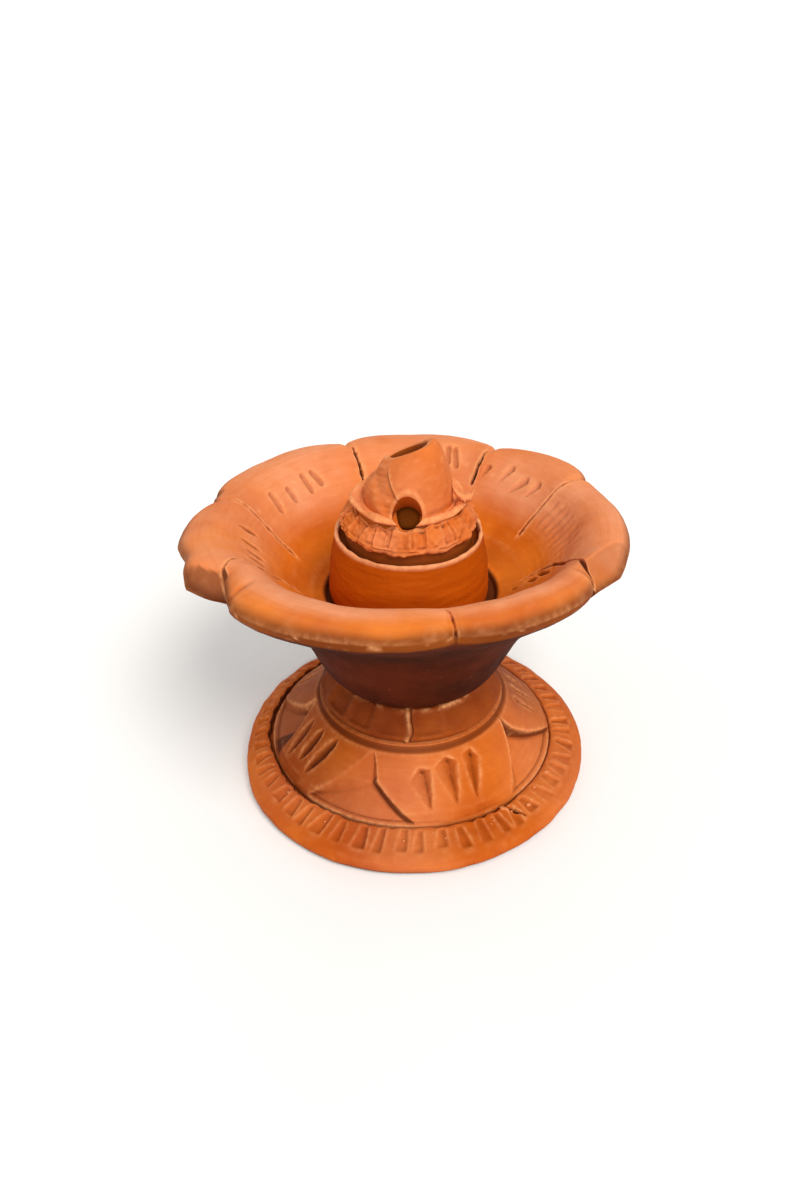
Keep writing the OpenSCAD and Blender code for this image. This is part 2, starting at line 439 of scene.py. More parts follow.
def foot_disc():
    """The disc: a rounded rim, a border pressed with short notches, and a ragged seam round the mound."""
    rim = 2.3
    points = [
        (20, 1.2, 1.4, 0.3), (39.5, 1.2, 1.4, 0.3), (40.7, 0, 1.2, 0.3),
        (FOOT_R - rim, 0, 0.6, 0.6), (FOOT_R - 0.5, 0.5, 0.5), (FOOT_R, rim, 0.45),
        (FOOT_R - 0.4, 3.7, 0.4), (FOOT_R - 1.7, 4.75, 0.32), (43, 5.6, 0.28),
        (39.8, 6.5, 0.24, 0.4), (MOUND_R + 0.7, 6.1, 0.2, 0.3), (MOUND_R + 0.6, 4.2, 0.8, 0.2),
        (20, 4.2, 1.4, 0.3),
    ]
    clay = Turned(points, angles(ROWS["foot"]))
    draw = np.random.default_rng(SEEDS["border"])
    on_top = clay.top * smooth(clay.z0, 4.0, 4.6)
    for i in range(BORDER_NOTCHES):
        middle = (i + 0.5) * 360 / BORDER_NOTCHES + draw.uniform(-1.0, 1.0)
        lean = draw.uniform(-1.8, 1.8)
        inner, outer = 39.3 + draw.uniform(-0.2, 0.6), 44.2 + draw.uniform(-0.7, 0.5)
        width, depth = draw.uniform(2.3, 3.6), draw.uniform(0.35, 1.0)
        along = (clay.r0 - inner) / (outer - inner)
        across = clay.arc(middle + lean * (along - 0.5))
        half = width * (0.27 + 0.27 * np.clip(along, 0, 1))
        ends = smooth(along, -0.06, 0.14) * fade(along, 0.86, 1.08)
        flat = smooth(half - np.abs(across), -0.3, 0.7)
        steep = 0.72 + 0.38 * np.clip(across / half, -1, 1)
        clay.carve(depth * flat * ends * steep * on_top, 0.1)
        ridge = bell(np.abs(across) - half - 0.3, 0.4) * ends * on_top
        clay.push(-0.12 * ridge)
    # the seam: a crack of uneven width between the disc and the mound, closed up at the right
    x, y = clay.plan()
    ragged = noise(x, y, 0, 1.5, 8.0)
    right = smooth(clay.phi, 42, 56) * fade(clay.phi, 130, 150)
    open_seam = smooth(noise(x, y, 0, 13.0, 3.0), -0.45, 0.1) * (1 - right)
    gap = (0.15 + 0.95 * open_seam) * (0.8 + 0.45 * ragged)
    edge = fade(clay.r0, SEAM_R, SEAM_R + 2.2)
    clay.r = clay.r + (gap - 0.6) * edge * smooth(clay.z0, 4.25, 4.6)
    # painted shade down the inner walls of the open seam
    dark = smooth(-clay.nr, 0.35, 0.8) * smooth(clay.z0, 4.25, 4.6) * (1 - 0.6 * right)
    clay.add_grime_and_shade(dark)
    slit(clay, [(43.2, 40.5), (41.2, 38.5), (38.8, 37.5)], 0.8, 1.5, 4.0, 0.1, on_top)
    stretch = (foot_reach(clay.phi) - SEAM_R) / (FOOT_R - SEAM_R)
    clay.r = clay.r + np.clip(clay.r0 - SEAM_R, 0, None) * (stretch - 1) * smooth(clay.r0, 40.5, 44)
    shown = smooth(clay.r0, 38, 42) * smooth(clay.z0, 0.2, 1.5)
    clay.rough((0.35, 16, 1.0), (0.2, 4.5, 2.0), (0.06, 1.3, 3.0), where=shown)
    clay.thrown(0.05, 1.0, 4.0, clay.top)
    clay.edges(3, 0.4, 1.0)
    clay.petal = 0.06 + 0.25 * noise(x, y, 0, 22, 6.0)
    # painted shade on the disc's down-facing underside
    clay.shade = smooth(-clay.nz, 0.2, 0.9)
    return clay.piece("foot_disc_clay")


# ---------------------------------------------------------------- the lotus mound

# Each recess: its left border, where its floor starts, where its floor ends and its right border
RECESSES = [
    (
        [(25.5, -22.2), (31, -32), (37, -42.4), (39, -46)],
        [(25.5, -8), (28, -11.8), (31.6, -18.2), (37, -41), (39, -45)],
        [(25.5, -22), (29, -20.8), (31.6, -19.2), (39, 0.2)],
        [(25.5, -21.4), (28.5, -17.6), (31.2, -15.6), (39, 4.6)],
    ),
    (
        [(26.2, 63.6), (33.3, 51.4), (39, 41)],
        [(26.2, 63.8), (33.3, 54.5), (36.6, 49.9), (39, 46)],
        [(26.2, 64), (30, 63), (33.3, 72.6), (39, 88)],
        [(26.2, 64.8), (29, 66.4), (33.3, 75.4), (39, 91.5)],
    ),
    (
        [(25.6, -82.4), (29.1, -84.6), (33, -95), (39, -112)],
        [(25.6, -82), (29.1, -82.6), (33, -91), (39, -106)],
        [(25.6, -81.8), (30, -79), (34, -79), (39, -84)],
        [(25.6, -81.4), (30, -74), (34, -71), (39, -69)],
    ),
    (
        [(25.5, 131), (33, 120), (39, 111)],
        [(25.5, 131.5), (33, 124), (39, 117)],
        [(25.5, 132), (30, 134), (39, 148)],
        [(25.5, 132.6), (30, 137), (39, 151.5)],
    ),
    (
        [(25.5, 203), (32, 193), (39, 182)],
        [(25.5, 214), (29, 211), (32, 206), (39, 184)],
        [(25.5, 204), (30, 206), (39, 222)],
        [(25.5, 204.6), (30, 208.6), (39, 225)],
    ),
]
RECESS_DEPTH = 2.9

FOOT_FORMS = {"drop": (1, 2.0, 0.16), "slash": (1, 1.5, 0.6)}
# Gouges on the foot's petals: top, bottom, width, form
FOOT_GOUGES = [
    ((27.4, -69.0), (35.8, -65.6), 2.9, "slash"), ((26.8, -57.2), (34.6, -58.2), 3.1, "slash"),
    ((26.6, -44.4), (35.4, -51.4), 3.2, "slash"), ((28.3, 3.4), (36.1, 8.2), 7.0, "drop"),
    ((26.6, 17.8), (35.8, 19.2), 7.6, "drop"), ((26.5, 34.0), (35.8, 28.0), 5.6, "drop"),
    ((27.4, 88), (34.6, 90), 2.4, "drop"), ((27.0, 98), (35.0, 99), 2.6, "drop"),
    ((27.2, 109), (34.4, 107), 2.4, "drop"), ((27.6, 157), (35.0, 159), 2.6, "drop"),
    ((27.0, 168), (35.6, 168), 2.8, "drop"), ((27.4, 179), (34.8, 177), 2.6, "drop"),
    ((27.6, 226), (35.2, 229), 2.2, "slash"), ((27.0, 237), (35.6, 238), 2.4, "slash"),
    ((27.4, 248), (35.0, 247), 2.2, "slash"),
]


def recess_depth(clay, borders):
    """How deep one knife-cut recess is: full on its floor, falling to nothing at its two borders."""
    left, floor_start, floor_end, right = (
        np.interp(clay.r0, *np.array(border, float).T) for border in borders
    )
    middle = clay.turn(borders[0][0][1])
    left, floor_start, floor_end, right = (
        turn_between(b, borders[0][0][1]) for b in (left, floor_start, floor_end, right)
    )
    rise = np.clip((middle - left) / np.maximum(floor_start - left, 0.3), 0, 1)
    fall = np.clip((right - middle) / np.maximum(right - floor_end, 0.3), 0, 1)
    steep = smooth(fall, 0.0, 0.25) * fade(fall, 0.75, 1.0) * (rise > 0.9)
    # painted shade along the recess's steep wall, under the petal's edge
    clay.add_grime_and_shade(0.8 * steep * clay.top)
    return np.minimum(rise, fall)


def lotus_mound():
    """The mound: five petals cut by slanted recesses, with gouges on each petal."""
    points = [
        (20, 4.2, 1.4, 0.2), (MOUND_R, 4.2, 0.8, 0.2), (MOUND_R, 6.6, 0.25, 0.4),
        (MOUND_R - 0.6, 7.5, 0.22, 0.6), (31, 13.75, 0.26), (25.6, 18.6, 0.24, 0.4),
        (25.0, 19.1, 0.2, 0.3), (24.8, MOUND_TOP, 0.3, 0.2), (11, MOUND_TOP, 1.4, 0.2),
    ]
    focus = [-20, 64, -82, 132, 204]
    clay = Turned(points, angles(ROWS["mound"], focus, 0.6, 14))
    slope = smooth(clay.r0, 25.3, 25.9) * clay.top * smooth(clay.z0, 5.5, 6.5)
    cut_away = np.zeros_like(clay.phi)
    for borders in RECESSES:
        inner = smooth(clay.r0, 25.4, 27.0)
        share = recess_depth(clay, borders) * inner
        cut_away = np.maximum(cut_away, share)
        clay.push(RECESS_DEPTH * share * slope * (1 - 0.5 * smooth(clay.r0, 32, 37.5)))
        # painted shade in the creases at the recess's borders
        corner = share * (1 - share) * 4
        clay.add_grime_and_shade(0.12 * corner)
    gouges(clay, FOOT_GOUGES, FOOT_FORMS)
    # painted shade in the groove round the mound's top, under the coil
    ring = bell(clay.r0 - 25.1, 0.4) * smooth(clay.z0, 17.5, 18.5)
    clay.carve(0.6 * ring, 1.2)
    lip = smooth(clay.r0, 36.3, 37.3) * clay.top
    clay.push(0.5 * lip * (0.6 + 0.6 * noise(*clay.plan(), 0, 3.0, 1.0)) * (1 - cut_away))
    clay.rough((0.22, 9, 5.0), (0.06, 2.2, 6.0), (0.025, 0.8, 7.0), where=slope)
    clay.edges(3, 0.45, 1.0)
    x, y = clay.plan()
    clay.petal = 0.14 + 0.3 * noise(x, y, 0, 18, 2.0)
    # painted shade: the left side and the back are darker than the front petal, as they lie in the bowl's
    # shadow
    clay.shade = 0.38 * smooth(np.abs(clay.turn(28)), 38, 75)
    return clay.piece("lotus_mound_clay")


# ---------------------------------------------------------------- the coil round the stem

COIL_PANELS = 16


def stem_coil():
    """The strip of clay wrapped round the stem: pressed panels, and a ragged joint at the front."""
    points = [
        (17, MOUND_TOP, 1.2, 0.2), (COIL_R - 1.4, MOUND_TOP + 0.05, 0.4, 0.4),
        (COIL_R - 0.2, MOUND_TOP + 0.7, 0.28, 0.6), (COIL_R, MOUND_TOP + 1.8, 0.24, 0.8),
        (COIL_R - 0.7, MOUND_TOP + 3.0, 0.24), (21.6, MOUND_TOP + 5.2, 0.24),
        (19.9, COIL_TOP - 1.0, 0.24, 0.6), (19.2, COIL_TOP - 0.1, 0.24, 0.4),
        (18.2, COIL_TOP, 0.4, 0.4), (17, COIL_TOP - 0.2, 1.0, 0.2),
    ]
    clay = Turned(points, angles(ROWS["coil"], [-1.5], 3, 3))
    draw = np.random.default_rng(SEEDS["coil"])
    band = smooth(clay.z0, MOUND_TOP + 1.8, MOUND_TOP + 3.0) * clay.top
    for i in range(COIL_PANELS):
        middle = (i + 0.45) * 360 / COIL_PANELS + draw.uniform(-1.6, 1.6)
        across = np.abs(clay.turn(middle))
        half = 360 / COIL_PANELS / 2 * draw.uniform(0.78, 0.92)
        depth = draw.uniform(0.3, 1.0) * (1 - 0.75 * smooth(turn_between(middle, 20), -18, 14))
        panel = smooth(half - across, -1.5, 4.5) * band
        clay.push(depth * panel)
    x, y = clay.plan()
    ragged = noise(x, y, clay.z0, 1.0, 3.0)
    joint = clay.arc(-1.8 + 1.2 * noise(clay.z0, 0, 0, 2.4, 1.0))
    outer = smooth(clay.nr, 0.2, 0.5)
    # dirt and painted shade in the ragged joint
    clay.carve(0.5 * np.clip((0.28 + 0.12 * ragged - np.abs(joint - 0.75)) / 0.2, 0, 1) * outer, 0.8)
    flap = bell(joint + 0.1, 0.55) * outer
    clay.push(-0.4 * flap * (1 + 0.5 * ragged))
    clay.rough((0.22, 6.0, 1.0), (0.07, 1.5, 2.0))
    clay.thrown(0.05, 0.9, 3.0)
    top_edge = bell(clay.z0 - COIL_TOP + 0.6, 0.5) * smooth(clay.nr, 0.0, 0.4)
    clay.push(-0.18 * top_edge * (0.6 + ragged))
    clay.edges(3, 2.6, 0.8)
    crumbly = smooth(noise(x, y, clay.z0, 2.0, 4.0), -0.1, 0.5)
    # pale dust on the top edge, heavier on the right where the light falls, is partly a painted highlight
    right = smooth(clay.turn(35), -50, -10) * fade(clay.turn(35), 20, 50)
    clay.powder(top_edge * crumbly * (0.25 + 0.75 * right))
    clay.powder(flap * (0.6 + 0.4 * crumbly))
    # painted shade at the coil's foot, where it meets the mound
    base = smooth(-clay.z0, -MOUND_TOP - 1.0, -MOUND_TOP - 0.2)
    clay.add_grime_and_shade(0.8 * base)
    # painted shade: the coil lies under the bowl, and is darkest on the side away from the light
    clay.shade = 0.55 + 0.2 * np.sin(np.radians(clay.turn(40) - 90))
    return clay.piece("stem_coil_clay")


# ---------------------------------------------------------------- the bowl

# Petals of the bowl: start angle, end angle, then the reach at the start, the tip and the end
PETALS = [
    (10, 54, 52.0, 52.9, 50.0), (54, 118, 52.0, 53.0, 53.2), (118, 152, 52.4, 56.2, 52.2),
    (152, 202, 52.4, 56.2, 52.2), (202, 256, 52.2, 55.8, 52.2), (256, 314.5, 52.2, 56.4, 54.2),
    (314.5, 370, 55.6, 55.7, 52.0),
]
SECTION_REACH = 56.7
PETAL_ROOT = 38.0
# How much prouder the rim stands at the back and at the front
BACK_RISE, FRONT_RISE = 0.9, 1.5
# The left petal's outline is nipped in beside its cut
NIP_ANGLE = 288
NIP = 1.6

# Knife lines down the inner wall between the petals, from the outside in
SLITS = {
    "front": [(57, 10.4), (49, 10.0), (46.4, 9.0)],
    "right": [(57, 53.6), (48, 60), (44, 64.5), (38.5, 72.5), (35.1, 81), (31.6, 85.5), (28, 88)],
    "back_right": [(48.6, 117), (32.4, 119.5)],
    "back": [(48.4, 152.5), (37.6, 154)],
    "back_left": [(47.6, 201), (33, 200)],
    "left": [(48.8, 256.2), (30.6, 256.2)],
    "front_left": [
        (56.5, 306), (52.6, 301.6), (44, 298), (39.7, 294.5), (35.9, 289), (32.6, 285.4), (29.0, 286),
    ],
}

# Gouges on the petals: start, end, width, form
BOWL_GOUGES = [
    ((42.9, 220.5), (39.0, 217.5), 1.5, "slot"), ((43.0, 224.5), (38.1, 223.5), 1.5, "slot"),
    ((41.5, 233.5), (37.9, 232.5), 1.6, "slot"), ((42.4, 241.5), (37.5, 242.5), 1.6, "slot"),
    ((42.8, 269.0), (38.3, 265.7), 1.3, "slash"), ((41.8, 276.0), (36.9, 274.3), 1.4, "slash"),
    ((40.6, 282.0), (36.0, 279.3), 1.4, "slash"), ((40.5, 287.4), (35.9, 283.3), 1.3, "slash"),
    ((43.2, 149.0), (39.4, 151.0), 1.7, "drop"), ((44.2, 139.5), (38.8, 143.8), 2.2, "drop"),
    ((42.6, 131.0), (37.6, 138.0), 2.4, "drop"), ((43.0, 125.6), (38.0, 129.4), 2.2, "drop"),
    ((31.2, 84.2), (34.6, 76.2), 1.1, "slash"), ((28.9, 84.2), (31.6, 78.7), 1.1, "slash"),
    ((25.0, 83.6), (26.7, 81.8), 1.0, "slash"), ((46.0, 164.5), (40.4, 162.0), 1.6, "slot"),
    ((46.3, 166.8), (41.0, 165.4), 1.5, "slot"), ((43.0, 20.0), (38.5, 22.0), 1.6, "slot"),
    ((42.5, 27.0), (38.0, 28.0), 1.6, "slot"), ((42.5, 34.0), (38.0, 34.0), 1.6, "slot"),
]
BOWL_FORMS = {"slash": (1.5, 0.9, 1.0), "slot": (1.3, 0.8, 0.4), "drop": (1.3, 1.0, 0.12)}
# Shallow ribs pressed across the right petal: angle, inner radius, outer radius
RIBS = [(84 + 4.2 * i, 34.8 + 0.5 * (i % 3), 42.6 - 0.4 * (i % 2)) for i in range(8)]


def petal_reach(angle):
    """The radius of the bowl's outline: seven lobes that dip sharply where two petals meet."""
    reach = np.zeros_like(angle)
    for start, end, r_start, r_tip, r_end in PETALS:
        t = ((angle - start) % 360) / (end - start)
        side = 2 * t - 1
        edge = r_start + (r_end - r_start) * t
        lobe = edge + (r_tip - (r_start + r_end) / 2) * (1 - np.abs(side) ** 3.4)
        reach = np.where(t <= 1, lobe, reach)
    reach = reach - NIP * bell(turn_between(angle, NIP_ANGLE), 5)
    # the two big cuts shorten the petals that they cross, down to where they come out under the lip
    towards, inner, steep, deepest = LIP_CUTS[0][:4]
    left = turn_between(angle, towards)
    cut_left = (inner + deepest / steep) / np.cos(np.radians(np.clip(left, -60, 0)))
    end_face = np.interp(left, [301.6 - 335, 314.5 - 335], [48.5, 55.0])
    crossed = (left > 283 - 335) & (left < 314.5 - 335)
    reach = np.where(crossed, np.minimum(reach, np.maximum(cut_left, end_face)), reach)
    towards, inner, steep, deepest = LIP_CUTS[1][:4]
    right = turn_between(angle, towards)
    cut_right = (inner + deepest / steep) / np.cos(np.radians(np.clip(right, 0, 50)))
    return np.where((right > 4) & (right < 40), np.minimum(reach, cut_right), reach)


# Flat cuts across the lip: the way each one faces, how far from the axis its top edge is, its
# steepness, how deep it goes, from and to which angle it runs, and how dark it is, a painted shade
# for faces turned from the light. None stands for the slanting knife line beside it.
LIP_CUTS = [
    (335, 40.9, 1.9, 5.4, 283, None, 0.62),
    (49.2, 43.8, 0.72, 4.8, None, 84, 0.28),
    (96.5, 34.5, 1.1, 4.8, 40, None, 0.12),
    (253, 50.6, 1.0, 4.8, 249, 256, 0.4),
    (1, 51.2, 0.8, 4.8, -9, 10, 0.0),
    (19, 51.0, 0.9, 4.8, 10.6, 30, 0.0),
]
# Beside the left cut the lip hangs a little
SAG_ANGLE = 298
SAG = 2.6


def beside_border(clay, path, side):
    """1 on one side of a line across the lip, 0 on the other. side is 1 for the side of the larger angles."""
    radii, turns = np.array(path, float)[::-1].T
    return smooth(side * clay.turn(np.interp(clay.r0, radii, turns)), -0.25, 0.25)


def cut_window(clay, towards, start, end):
    """Where one cut is: between two angles, or up to the border that stands in for a missing one."""
    turned = clay.turn(towards)
    window = (np.abs(turned) < 75).astype(float)
    if start is None:
        window = window * beside_border(clay, SLITS["right"], 1)
    else:
        window = window * smooth(turned, start - towards - 0.8, start - towards + 1.5)
    if end is None:
        border = SLITS["right"] if towards < 180 else SLITS["front_left"]
        window = window * beside_border(clay, border, -1)
    else:
        window = window * fade(turned, end - towards - 0.4, end - towards + 0.4)
    return window


def cut_lip(clay, towards, reach, steep, deepest, start, end, dark):
    """Lowers the lip to a flat cut that falls away from its top edge."""
    beyond = clay.r * np.cos(np.radians(clay.turn(towards))) - reach
    drop = np.clip(clay.z - (BOWL_TOP - steep * beyond), 0, deepest)
    drop = drop * (beyond > 0) * smooth(clay.r0, 41, 43) * smooth(clay.z0, BOWL_TOP - 7, BOWL_TOP - 5.5)
    drop = drop * cut_window(clay, towards, start, end)
    clay.z = clay.z - drop
    # painted shade on the cut face
    clay.add_grime_and_shade(dark * smooth(drop, 0.05, 0.4))


def follow_slits(clay):
    """Bends the grid's rows along the slanting knife lines, so that the cuts stay sharp."""
    rows = clay.phi.copy()
    paths = (
        (SLITS["right"], 64),
        (SLITS["front_left"], 42),
        (SLITS["back_right"], 14),
        (SLITS["back"], 12),
        (SLITS["back_left"], 12),
    )
    for path, reach in paths:
        radii, turns = np.array(path, float)[::-1].T
        outer = turns[-1]
        shift = (np.interp(clay.r0, radii, turns) - outer) * clay.top * smooth(clay.r0, 20, 26)
        near = np.clip(1 - np.abs(turn_between(rows, outer)) / reach, 0, 1)
        clay.phi = clay.phi + shift * near * near * (3 - 2 * near)
    return clay


def lean_back(grid, share):
    """Leans the bowl back about the middle of its seat. share is 0 on the level stem and seat."""
    a = math.radians(BOWL_LEAN)
    x, y, z = grid[..., 0], grid[..., 1], grid[..., 2] - SEAT
    leaning = np.stack([x, y * math.cos(a) + z * math.sin(a), z * math.cos(a) - y * math.sin(a) + SEAT], -1)
    return grid + (leaning - grid) * share[..., None]


def petal_bowl():
    """The bowl with its stem, in one piece: seven petals, knife lines, gouges and a thrown floor."""
    points = [
        (0, 39.5, 2.5, 0.3), (11, 39.5, 2.5, 0.3), (11, MOUND_TOP, 1.5, 0.3),
        (17, MOUND_TOP, 1.5, 0.3), (17, COIL_TOP, 0.8, 0.6), (18.6, COIL_TOP + 0.5, 0.5, 0.6),
        (21.6, COIL_TOP + 1.6, 0.8, 1.2), (24.8, 35, 1.0, 2.0), (27.6, 41.5, 1.0, 3.0),
        (31.4, 48.2, 1.0, 3.0), (37.1, 54.6, 1.0, 3.0), (44, 59.6, 0.9, 3.0),
        (51.0, 63.2, 0.6, 2.0), (54.4, 65.0, 0.4, 1.2), (56.1, 66.2, 0.35), (56.8, 67.7, 0.35),
        (56.2, 69.3, 0.35), (54.3, 70.6, 0.35), (51.6, BOWL_TOP - 0.2, 0.4, 2.0),
        (48.2, BOWL_TOP, 0.38, 2.0), (45, BOWL_TOP - 1.1, 0.36, 2.0),
        (41.5, BOWL_TOP - 3.6, 0.36, 2.0), (37, BOWL_TOP - 8, 0.36, 2.0),
        (32, BOWL_TOP - 13.4, 0.4, 2.0), (27, BOWL_TOP - 17.6, 0.5, 2.0),
        (23.5, SEAT + 1.9, 0.5, 1.0), (21.6, SEAT + 1.2, 0.4, 0.3), (21.3, SEAT, 0.6, 0.3),
        (0, SEAT, 2.5, 0.3),
    ]
    focus = [p[0] for p in PETALS] + [SLITS["right"][0][1], SLITS["front_left"][0][1]]
    clay = Turned(points, angles(ROWS["bowl"], focus, 3.2, 1.3), closed=False)
    follow_slits(clay)

    bowl = smooth(clay.z0, 33, 40) * smooth(clay.r0, 21.8, 24)
    inner_wall = clay.top * bowl
    lip = smooth(clay.z0, BOWL_TOP - 6.0, BOWL_TOP - 4.4)

    stretch = (petal_reach(clay.phi) - PETAL_ROOT) / (SECTION_REACH - PETAL_ROOT)
    beyond = np.clip(clay.r0 - PETAL_ROOT, 0, None)
    clay.r = clay.r + beyond * (stretch - 1) * smooth(clay.z0, 50, 58)

    # the petals' faces swell a little between the knife lines
    for start, end, *_ in PETALS:
        side = 2 * ((clay.phi - start) % 360) / (end - start) - 1
        swell = np.where(np.abs(side) <= 1, 1 - side**2, 0) * smooth(clay.r0, 34, 44)
        clay.push(-0.35 * swell * clay.top)
        edge = np.where(np.abs(side) <= 1, smooth(np.abs(side), 1 - 4 / (end - start), 1), 0)
        clay.push(0.5 * edge * smooth(clay.r0, 46, 51) * lip)

    # the thrown floor is cut a little lower than the smooth petals, with a soft border
    x, y = clay.plan()
    border = 36.2 + 1.6 * np.sin(np.radians(clay.phi + 60)) + 0.9 * noise(x, y, 0, 9, 2.0)
    floor = fade(clay.r0, border - 4.5, border + 3.5)

    for number, (name, path) in enumerate(SLITS.items()):
        through_lip = name in ("front", "right")
        where = np.maximum(inner_wall, lip * through_lip)
        width, depth = (0.6, 0.9) if name == "front" else (0.85, 1.7)
        slit(clay, path, width, depth, 3.0 + 7 * number, 0.45, where)
    gouges(clay, BOWL_GOUGES, BOWL_FORMS)
    for angle, inner, outer in RIBS:
        stroke(clay, (outer, angle - 1), (inner, angle + 1), 3.2, 0.3, "slash", 0.0)

    # the front joint's pressed facets, and the slanted cuts at the left and right
    facet = np.abs(clay.turn(10.2)) * math.radians(1) * clay.r0
    clay.push(0.4 * np.clip(1 - facet / 5.0, 0, 1) * lip)
    for cut in LIP_CUTS:
        cut_lip(clay, *cut)
    turned = clay.turn(SAG_ANGLE)
    hanging = smooth(turned, -7, 4) * beside_border(clay, SLITS["front_left"], -1) * (np.abs(turned) < 15)
    clay.z = clay.z - SAG * hanging * smooth(clay.r0, 49, 55)

    clay.rough((0.45, 15, 1.0), where=lip)
    clay.rough((0.14, 5, 2.0), (0.04, 1.6, 3.0), where=bowl)
    clay.thrown(0.09, 1.1, 4.0, floor * inner_wall)
    under = smooth(-clay.nz, 0.1, 0.5) * smooth(clay.z0, 28, 30)
    clay.thrown(0.04, 1.8, 5.0, under)
    # the rim isn't level
    front = fade(np.abs(clay.turn(-4)), 35, 78)
    back = smooth(np.abs(clay.turn(0)), 90, 170)
    clay.z = clay.z + (BACK_RISE * back + FRONT_RISE * front) * smooth(clay.z0, 58, 68)
    clay.edges(3, 0.3, 1.3)
    clay.dust = clay.dust * (1 - under)
    chipped = smooth(noise(x, y, clay.z0, 1.7, 9.0), 0.35, 0.8)
    lower_edge = bell(clay.z0 - 67.6, 0.8) * lip
    clay.powder(lower_edge * chipped)
    rolled = smooth(clay.r0, 49.5, 53.5) * front
    # the inner wall darkens towards the pot, in patches
    darker_near_pot = fade(clay.r0, 23, 34) * (0.65 + 0.35 * noise(x, y, 0, 7, 12.0))
    clay.add_grime_and_shade(0.3 * darker_near_pot * inner_wall)
    # painted shade in the gap round the pot's foot
    clay.add_grime_and_shade(0.95 * fade(clay.r0, 21.5, 22.8) * (clay.nz > 0))
    patches = 0.8 + 0.35 * noise(x, y, 0, 14, 14.0) + 0.15 * noise(x, y, 0, 4, 15.0)
    clay.petal = np.clip(1 - floor, 0, 1) * smooth(clay.nz, -0.2, 0.5) * (1 - 0.75 * rolled) * patches
    # painted shade on the underside and stem, and on the lip's lower edge where it rolls under
    clay.shade = smooth(-clay.nz, -0.05, 0.35) * fade(clay.z0, 65.6, 68.4)
    clay.shade = np.maximum(clay.shade, 0.72 * smooth(-clay.z0, -70.9, -68.9) * smooth(clay.r0, 52, 54))
    clay.shade = np.where(clay.z0 < 52, np.maximum(clay.shade, smooth(-clay.nz, -0.6, 0.3)), clay.shade)

    top_side = smooth(clay.r0, 21.3, 23.5)
    under_side = smooth(clay.z0, COIL_TOP, 33) * (clay.z0 > COIL_TOP)
    share = np.where(clay.nz > 0.05, top_side, under_side)
    share = np.where(clay.r0 <= 17.01, 0, share)
    share = np.where((clay.z0 > 62) & (clay.r0 > 40), 1, share)
    return clay.piece("petal_bowl_clay", lambda grid: lean_back(grid, share))


# ---------------------------------------------------------------- the oil pot


def shifted(grid):
    """The pot and its lid sit a little to one side in the seat."""
    return grid + np.array([*POT_SHIFT, 0])


def oil_pot():
    """The cup: a thrown wall, a thin uneven rim and the ledge that the lid stands on."""
    points = [
        (0, SEAT, 2.5, 0.3), (19.2, SEAT, 0.8, 0.5), (19.9, SEAT + 1, 0.5), (20.0, 54, 0.36),
        (19.8, 58, 0.34), (19.2, 63, 0.32), (18.3, 67, 0.26), (18.15, POT_RIM - 0.9, 0.2, 0.5),
        (18.1, POT_RIM, 0.16, 0.4), (17.3, POT_RIM + 0.05, 0.16, 0.4),
        (17.1, POT_RIM - 1.0, 0.22, 0.4), (17.0, LEDGE, 0.35, 0.3), (14.7, LEDGE, 0.5, 0.2),
        (14.6, 57.5, 1.5, 0.5), (11.6, 54.5, 1.5, 1.0), (0, 54.5, 2.5, 0.3),
    ]
    clay = Turned(points, angles(ROWS["pot"]), closed=False)
    wall = smooth(clay.nr, 0.4, 0.8) * smooth(clay.z0, SEAT + 0.5, SEAT + 2)
    clay.thrown(0.09, 1.5, 2.0, wall)
    clay.thrown(0.05, 0.6, 6.0, wall)
    clay.rough((0.16, 8, 3.0), where=wall)
    clay.rough((0.04, 1.4, 4.0))
    x, y = clay.plan()
    rim = smooth(clay.z0, POT_RIM - 1.3, POT_RIM - 0.3)
    clay.push(-0.2 * rim * noise(x, y, 0, 2.2, 5.0))
    clay.edges(2, 0.3, 0.4)
    crisp = smooth(noise(x, y, 0, 1.8, 7.0), -0.8, 0.0)
    clay.dust = np.maximum(clay.dust * (1 - wall), rim * (0.6 + 0.4 * crisp))
    clay.petal = np.maximum(clay.petal, rim)
    # painted shade at the pot's foot, where it stands in the seat
    clay.add_grime_and_shade(smooth(-clay.z0, -SEAT - 3.0, -SEAT - 0.8) * 0.6)
    # painted shade in the groove between the rim and the lid
    clay.add_grime_and_shade(smooth(-clay.r0, -17.15, -16.9) * (clay.r0 > 14.9) * 0.6)
    return clay.piece("oil_pot_clay", shifted)


# ---------------------------------------------------------------- the lid and its trimmings


def wick_cutter(radius):
    """The rod that opens the wick hole, slanting down into the lid."""
    mesh = bpy.data.meshes.new("wick_cutter")
    b = bmesh.new()
    rod = {"segments": 72, "radius1": radius * MM, "radius2": radius * MM, "depth": 16 * MM}
    bmesh.ops.create_cone(b, cap_ends=True, **rod)
    for height in np.arange(-7.5, 8.0, 0.5):
        everything = b.verts[:] + b.edges[:] + b.faces[:]
        bmesh.ops.bisect_plane(b, geom=everything, plane_co=(0, 0, height * MM), plane_no=(0, 0, 1))
    tilt = Matrix.Rotation(math.radians(90 - WICK_TILT), 4, "X")
    out = Vector((0, -math.cos(math.radians(WICK_TILT)), math.sin(math.radians(WICK_TILT))))
    start = Vector(WICK_POINT) * MM + Vector((POT_SHIFT[0] * MM, 0, 0))
    b.transform(Matrix.Translation(start + out * 3.4 * MM) @ tilt)
    b.to_mesh(mesh)
    b.free()
    return link_object("wick_cutter", mesh)


